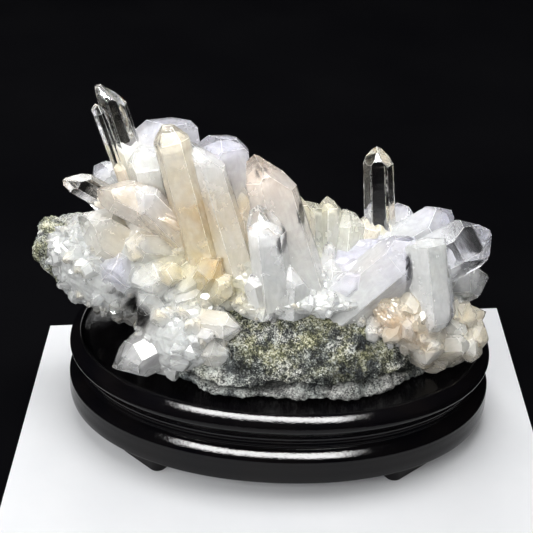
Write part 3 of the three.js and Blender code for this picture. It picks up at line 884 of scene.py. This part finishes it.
def window_share(n):
    """1 inside the dark windows and cracks, 0 outside them."""
    share = 0.0
    ragged = n.add("VectorMath", {"operation": "SCALE"}, Scale=WINDOW_RAGGEDNESS * MM,
                   Vector=n.noise(260, 2, 0.5, output="Color"))
    moved = n.vector("ADD", n.where, ragged.outputs[0])
    usual_move = Vector((WINDOW_RAGGEDNESS / 2,) * 3) * MM
    for middle, reach in WINDOWS:
        offset = n.vector("SUBTRACT", moved, placed(*middle) + usual_move)
        scaled = n.vector("DIVIDE", offset, Vector(reach) * MM)
        far = n.add("VectorMath", {"operation": "LENGTH"}, Vector=scaled)
        inside = n.span(far.outputs["Value"], 1.15, 0.75, 0, 1)
        share = n.math("MAXIMUM", inside, share)
    return share


def growth_height(n):
    """Lines across the crystals' length and a fine unevenness, as a height."""
    squeezed = n.vector("MULTIPLY", n.attribute("place", "Vector"), (0.05, 0.05, 1.2))
    lines = n.noise(1.0, 3, 0.6, where=squeezed)
    return n.plus(n.times(lines, 0.6), n.times(n.noise(300, 3), 0.4))


def clear_material():
    """Clear quartz, see-through to the milk inside it."""
    n = Nodes("clear quartz")
    normal = n.bump(growth_height(n), 0.0003, 0.22)
    rough = n.span(n.noise(120, 4), 0.45, 0.7, 0.0, 0.09)
    rough = n.plus(rough, n.times(n.attribute("facet"), 0.04))
    colour = n.ramp(n.noise(60, 4), (0.3, (0.97, 0.97, 0.96)), (0.7, (1.0, 1.0, 1.0)))
    colour = n.mix(0.45, colour, n.attribute("tint", "Color"))
    return n.finish(colour, rough, Normal=normal, IOR=QUARTZ_IOR, Transmission_Weight=1.0)


def quartz_material():
    """Quartz with a faint milk in its skin, which clears towards some of the tips."""
    n = Nodes("milky quartz skin")
    facet = n.attribute("facet")
    clouds = n.noise(85, 5, 0.62, 0.5)
    drawn_out = n.vector("MULTIPLY", n.attribute("place", "Vector"), (0.2, 0.2, 0.1))
    streak = n.noise(1.0, 4, 0.65, 0.6, where=drawn_out)
    colour = n.mix(n.span(clouds, 0.42, 0.68, 0, 0.45), n.attribute("tint", "Color"),
                   (0.90, 0.90, 0.89, 1))
    colour = n.mix(n.span(streak, 0.5, 0.7, 0, 0.25), colour, (0.95, 0.95, 0.95, 1))
    milk = n.span(streak, 0.35, 0.68, 0.36, 0.56)
    milk = n.plus(milk, n.times(n.math("SUBTRACT", facet, 0.5), 0.4))
    left = n.math("SUBTRACT", 1.0, n.attribute("clarity"), clamp=True)
    milk = n.times(milk, left, clamp=True)
    milk = n.times(milk, n.math("SUBTRACT", 1.0, window_share(n), clamp=True))
    through = n.math("SUBTRACT", 1.0, milk, clamp=True)
    rough = n.span(n.noise(120, 4), 0.42, 0.7, 0.05, 0.25)
    rough = n.plus(rough, n.times(facet, 0.12))
    normal = n.bump(growth_height(n), 0.0004, 0.35)
    return n.finish(colour, rough, Normal=normal, IOR=QUARTZ_IOR, Transmission_Weight=through)


def worn_edge_material():
    n = Nodes("worn quartz edge")
    colour = n.ramp(n.noise(400, 3), (0.3, (0.86, 0.86, 0.85)), (0.7, (0.97, 0.97, 0.96)))
    rough = n.span(n.noise(500, 3), 0.3, 0.7, 0.15, 0.5)
    return n.finish(colour, rough, IOR=QUARTZ_IOR, Transmission_Weight=0.85)


def milk_material():
    n = Nodes("milky quartz")
    tint = n.attribute("tint", "Color")
    clouds = n.noise(70, 5, 0.6, 0.4)
    veil = n.noise(190, 4, 0.6, 1.2)
    colour = n.mix(n.span(clouds, 0.44, 0.7, 0, 0.4), tint, (0.84, 0.84, 0.83, 1))
    colour = n.mix(n.span(veil, 0.58, 0.75, 0, 0.35), colour, (0.72, 0.70, 0.62, 1))
    # Painted shade: inside the windows and cracks the milk is painted near-black, standing for the dark
    # seen through clear quartz
    colour = n.mix(n.times(window_share(n), 0.93), colour, (0.03, 0.03, 0.035, 1))
    normal = n.bump(n.noise(350, 4), 0.0006, 0.5)
    return n.finish(colour, 0.6, Normal=normal, Subsurface_Weight=0.7,
                    Subsurface_Radius=(1, 0.97, 0.92), Subsurface_Scale=0.005)


def matrix_material():
    """Fine dark and green grains with white ones, paler along the ledge and to the left, and painted
    shade in the crevice along the top of the ledge.
    """
    n = Nodes("granular matrix rock")
    grains = n.add("TexVoronoi", Scale=1500.0, Randomness=1.0, Vector=n.where)
    cell = n.add("SeparateColor", Color=grains.outputs["Color"])
    pick = n.plus(n.times(cell.outputs[0], 0.5),
                  n.span(n.noise(170, 6, 0.8), 0.38, 0.62, 0.02, 0.52))
    dark = n.ramp(pick, (0.2, (0.008, 0.009, 0.011)), (0.4, (0.05, 0.055, 0.056)),
                  (0.53, (0.14, 0.148, 0.14)), (0.64, (0.33, 0.34, 0.31)),
                  (0.73, (0.64, 0.65, 0.61)), (0.83, (0.92, 0.92, 0.9)))
    pale = n.ramp(pick, (0.2, (0.06, 0.06, 0.06)), (0.4, (0.28, 0.28, 0.28)),
                  (0.56, (0.6, 0.6, 0.59)), (0.75, (0.9, 0.9, 0.89)))
    place = n.add("SeparateXYZ", Vector=n.where)
    wander = n.times(n.math("SUBTRACT", n.noise(45, 5, 0.6), 0.5), 0.05)
    low = placed(0, 0, LEDGE_TOP)
    left = placed(PALE_ROCK_X, 0, 0)
    above = n.attribute("above")
    ledge = n.span(above, 1.0, -1.0, 0, 0.85)
    side = n.span(n.plus(place.outputs[0], wander), left.x + 0.008, left.x - 0.012, 0, 1)
    side = n.times(side, n.span(place.outputs[2], low.z + 0.014, low.z + 0.006, 0, 1))
    far_left = n.span(place.outputs[0], *[placed(x, 0, 0).x for x in FAR_LEFT_X], 0, 0.6)
    side = n.math("MAXIMUM", side, far_left)
    colour = n.mix(n.math("MAXIMUM", ledge, side), dark, pale)
    blotch = n.ramp(n.noise(50, 6, 0.7), (0.41, (0.17, 0.19, 0.2)), (0.49, (0.76, 0.8, 0.77)),
                    (0.58, (1.0, 1.0, 0.97)))
    colour = n.mix(1.0, colour, blotch, "MULTIPLY")
    high = n.span(n.plus(place.outputs[2], wander), low.z, low.z + 0.02, 0, 1)
    olive = n.times(n.span(n.noise(95, 5, 0.75), 0.44, 0.6, 0, 0.8), high)
    yellow = n.ramp(pick, (0.3, (0.055, 0.06, 0.026)), (0.48, (0.25, 0.26, 0.12)),
                    (0.66, (0.64, 0.62, 0.35)), (0.83, (0.92, 0.9, 0.72)))
    colour = n.mix(olive, colour, yellow)
    # Painted shade: the crevice along the top of the ledge is painted near-black
    crevice = n.span(n.math("ABSOLUTE", above), 2.0, 0.5, 0, 0.85)
    colour = n.mix(crevice, colour, (0.012, 0.012, 0.012, 1))
    height = n.plus(grains.outputs["Distance"], n.noise(1100, 3))
    normal = n.bump(height, 0.0007, 0.8)
    rough = n.span(cell.outputs[1], 0, 1, 0.55, 1.0)
    return n.finish(colour, rough, Normal=normal, Specular_IOR_Level=0.3)


def lacquer_material():
    n = Nodes("black lacquer")
    colour = n.ramp(n.noise(40, 4), (0.3, (0.002, 0.002, 0.003)), (0.8, (0.006, 0.005, 0.005)))
    rough = n.span(n.noise(420, 5, 0.7), 0.35, 0.75, 0.05, 0.14)
    normal = n.bump(n.noise(210, 4, 0.6), 0.0006, 0.12)
    normal = n.bump(n.noise(1100, 2), 0.0003, 0.2, normal)
    return n.finish(colour, rough, Normal=normal, IOR=LACQUER_IOR, Specular_IOR_Level=0.2)


def floor_material():
    n = Nodes("pale floor")
    colour = n.ramp(n.noise(25, 4), (0.2, (0.68, 0.69, 0.71)), (0.8, (0.725, 0.73, 0.745)))
    return n.finish(colour, 0.7, Normal=n.bump(n.noise(700, 3), 0.0002, 0.2))


def surround_material():
    n = Nodes("dark surroundings")
    colour = n.ramp(n.noise(6, 3), (0.2, (0.0022, 0.0022, 0.0028)), (0.8, (0.004, 0.004, 0.0046)))
    return n.finish(colour, 1.0, Specular_IOR_Level=0.0)


# Rock

def matrix():
    """The rock's solid with a fine granular surface."""
    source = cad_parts["matrix_rock"]
    obj = link(bpy.data.objects.new("matrix", source.data.copy()))
    remesh = obj.modifiers.new("grain", "REMESH")
    remesh.mode = "VOXEL"
    remesh.voxel_size = ROCK_GRAIN * MM
    freeze(obj)
    mesh = obj.data
    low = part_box("matrix_rock")[0].z
    normals = [vert.normal.copy() for vert in mesh.vertices]
    heights = []
    for vert, normal in zip(mesh.vertices, normals):
        point = vert.co / MM
        relief = sum(noise.noise(point * fineness) * height for fineness, height in ROCK_RELIEF)
        above = point.z - LEDGE_TOP - noise.noise(point * LEDGE_WAVE[0]) * LEDGE_WAVE[1]
        heights.append(above)
        crevice = -CREVICE_DEPTH * math.exp(-(above / CREVICE_WIDTH) ** 2)
        crevice += LEDGE_STANDS_OUT * smooth_step(0, 3, -above)
        vert.co += normal * (relief + crevice - ROCK_SHRINK) * MM
        vert.co.z = max(vert.co.z, low)
    mesh.attributes.new("above", "FLOAT", "POINT").data.foreach_set("value", heights)
    mesh.shade_smooth()
    return obj


# Stand

def smooth_profile(points):
    """A smooth line through the points of the rim, as a row of close points."""
    curve = []
    for i in range(len(points) - 1):
        before = Vector(points[max(0, i - 1)])
        a, b = Vector(points[i]), Vector(points[i + 1])
        after = Vector(points[min(len(points) - 1, i + 2)])
        for step in range(RIM_STEPS):
            t = step / RIM_STEPS
            curve.append(((2 * a) + (b - before) * t + (2 * before - 5 * a + 4 * b - after) * t * t
                          + (3 * a - before - 3 * b + after) * t ** 3) / 2)
    curve.append(Vector(points[-1]))
    return curve


def ring_of(bm, inset, height):
    """A ring of points on the stand's oval, set in from its edge."""
    power = 2 / STAND_OVAL_POWER
    ring = []
    for step in range(STAND_STEPS):
        angle = step / STAND_STEPS * 2 * math.pi
        c, s = math.cos(angle), math.sin(angle)
        x = (STAND_HALF_WIDTH - inset) * math.copysign(abs(c) ** power, c)
        y = (STAND_HALF_DEPTH - inset) * math.copysign(abs(s) ** power, s)
        ring.append(bm.verts.new((x, y + STAND_CENTRE_Y, height)))
    return ring


def closed_body(bm, rings):
    """Joins each ring to the next one up, and closes the last and the first."""
    for low, high in zip(rings, rings[1:]):
        for step in range(len(low)):
            after = (step + 1) % len(low)
            bm.faces.new((low[step], low[after], high[after], high[step]))
    bm.faces.new(rings[-1])
    bm.faces.new(list(reversed(rings[0])))


def stand():
    """The moulded oval body, closed above and below, and its four feet."""
    bm = bmesh.new()
    closed_body(bm, [ring_of(bm, inset, height) for inset, height in smooth_profile(RIM_PROFILE)])
    for x, y in FOOT_PLACES:
        stand_foot(bm, x, y)
    obj = mesh_object("stand", bm, smooth=True)
    obj.data.set_sharp_from_angle(angle=SHARP_ANGLE)
    return obj


def stand_foot(bm, x, y):
    """A short foot with round corners and a worn lower edge."""
    facing = math.atan2(y * STAND_HALF_WIDTH / STAND_HALF_DEPTH, x) + math.pi / 2
    straight = (FOOT_HALF_LENGTH - FOOT_CORNER, FOOT_HALF_DEPTH - FOOT_CORNER)
    rings = []
    for height, draw in ((0, FOOT_WEAR), (FOOT_WEAR, 0), (FOOT_HEIGHT + 1, 0)):
        ring = []
        for step in range(FOOT_STEPS):
            angle = (step + 0.5) / FOOT_STEPS * 2 * math.pi
            c, s = math.cos(angle), math.sin(angle)
            px = math.copysign(straight[0], c) + (FOOT_CORNER - draw) * c
            py = math.copysign(straight[1], s) + (FOOT_CORNER - draw) * s
            ring.append(bm.verts.new((
                x + px * math.cos(facing) - py * math.sin(facing),
                y + STAND_CENTRE_Y + px * math.sin(facing) + py * math.cos(facing), height)))
        rings.append(ring)
    closed_body(bm, rings)


# Surroundings

def pale_floor():
    bm = bmesh.new()
    closed_body(bm, [[bm.verts.new((x, y, z)) for x, y in FLOOR_CORNERS] for z in (-FLOOR_THICKNESS, 0)])
    obj = mesh_object("pale floor", bm)
    obj.data.materials.append(floor_material())


def surroundings():
    """A dark ground that reaches far out on all sides of the pale floor."""
    bm = bmesh.new()
    bmesh.ops.create_grid(bm, x_segments=8, y_segments=8, size=GROUND_REACH)
    bmesh.ops.translate(bm, verts=bm.verts, vec=(0, 0, -GROUND_DROP))
    obj = mesh_object("dark ground", bm)
    obj.data.materials.append(surround_material())


def camera():
    data = bpy.data.cameras.new("camera")
    data.sensor_width = SENSOR_WIDTH
    data.lens = FOCAL_PIXELS / FRAME_PIXELS * SENSOR_WIDTH
    data.clip_start = 0.01
    data.clip_end = 20
    obj = link(bpy.data.objects.new("camera", data))
    forward = Vector((0, math.cos(CAMERA_PITCH), -math.sin(CAMERA_PITCH)))
    level = Vector((1, 0, 0))
    down = forward.cross(level)
    right = level * math.cos(CAMERA_ROLL) + down * math.sin(CAMERA_ROLL)
    up = level * math.sin(CAMERA_ROLL) - down * math.cos(CAMERA_ROLL)
    turned = Matrix((right, up, -forward)).transposed().to_4x4()
    obj.matrix_world = Matrix.Translation(placed(*CAMERA_PLACE)) @ turned
    bpy.context.scene.camera = obj


def area_light(name, place, target, size, power, mirrored, lighting):
    data = bpy.data.lights.new(name, "AREA")
    data.shape = "RECTANGLE"
    data.size = size[0] * MM
    data.size_y = size[1] * MM
    data.energy = power
    obj = link(bpy.data.objects.new(name, data))
    obj.visible_glossy = mirrored
    obj.visible_diffuse = lighting
    obj.location = placed(*place)
    aim = placed(*target) - obj.location
    obj.rotation_euler = aim.to_track_quat("-Z", "Y").to_euler()


def lights():
    for light in LIGHTS:
        area_light(*light)
    world = bpy.data.worlds.new("dim room")
    world.use_nodes = True
    world.node_tree.nodes["Background"].inputs["Color"].default_value = ROOM_COLOUR
    bpy.context.scene.world = world
    bpy.context.scene.view_settings.view_transform = "Standard"


def dress(obj, material, slot, *nodes):
    obj.data.materials.clear()
    obj.data.materials.append(material)
    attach(obj, "root")
    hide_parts(*nodes)


camera()
crystals = quartz()
dress(crystals, quartz_material(), "quartz", "quartz_crystals")
crystals.data.materials.append(clear_material())
crystals.data.materials.append(worn_edge_material())
marks = crystals.data.attributes
for polygon, worn, clear in zip(crystals.data.polygons, marks["edge"].data, marks["clear"].data):
    polygon.material_index = WORN_INDEX if worn.value > 0.5 else round(clear.value)
dress(milky_cores(), milk_material(), "quartz", "quartz_crystals")
dress(matrix(), matrix_material(), "matrix", "matrix_rock")
dress(stand(), lacquer_material(), "lacquered_wood", "wooden_stand")
pale_floor()
surroundings()
lights()
